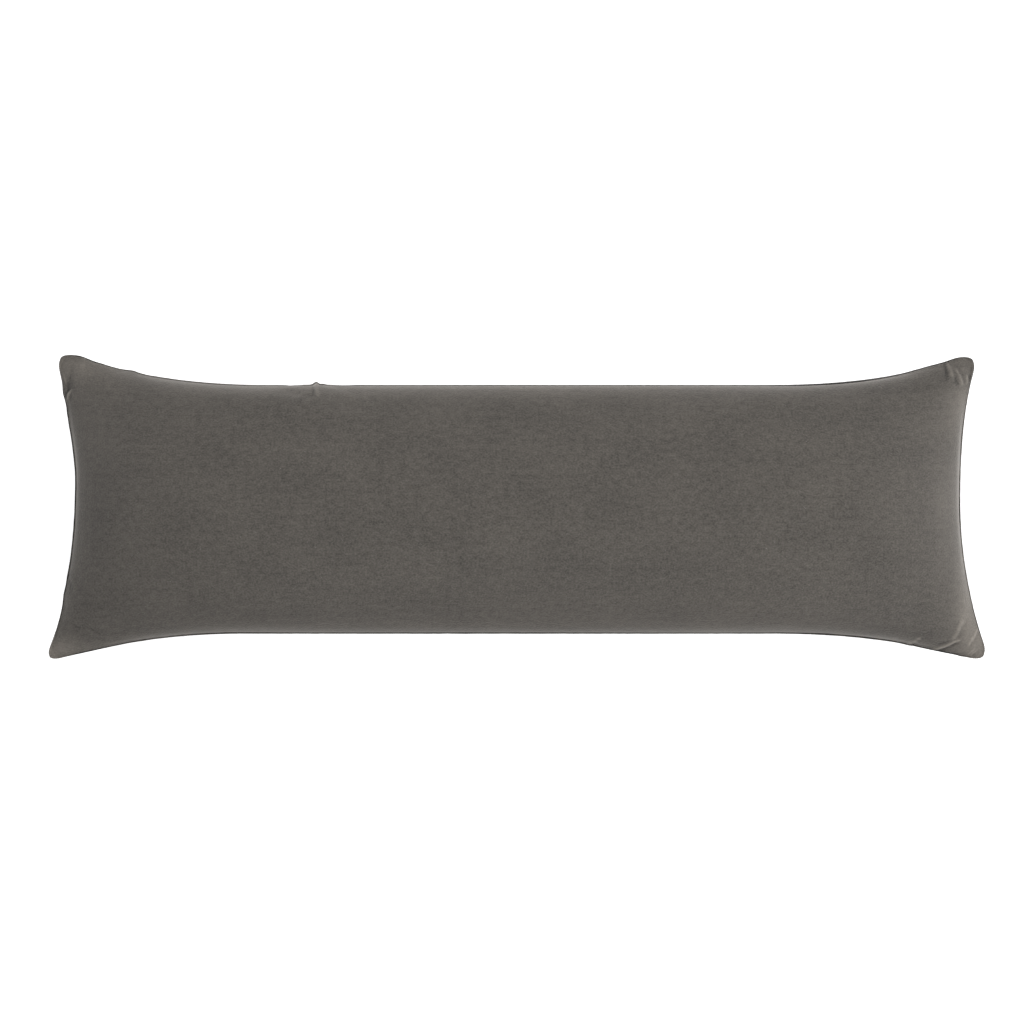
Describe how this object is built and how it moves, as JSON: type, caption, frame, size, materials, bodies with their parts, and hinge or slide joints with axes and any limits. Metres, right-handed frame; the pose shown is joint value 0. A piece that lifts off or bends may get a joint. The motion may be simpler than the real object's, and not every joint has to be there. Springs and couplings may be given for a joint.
{
  "type": "lumbar pillow",
  "caption": "Long rectangular filled cushion with a crowned face, drawn-in sides and pointed corners, for support behind the lower back on a bed or sofa.",
  "frame": {"origin": "middle of the plan, on the surface that the back of the pillow lies on", "axes": "+X along the pillow's length, +Y across its face towards the upper long seam, +Z out of the face"},
  "size_m": [1.2028, 0.3904, 0.1632],
  "materials": {
    "velvet": "charcoal grey short pile velvet, matt, with a soft pale sheen where the surface turns away"
  },
  "bodies": {
    "root": {"pillow": "velvet"}
  },
  "joints": []
}
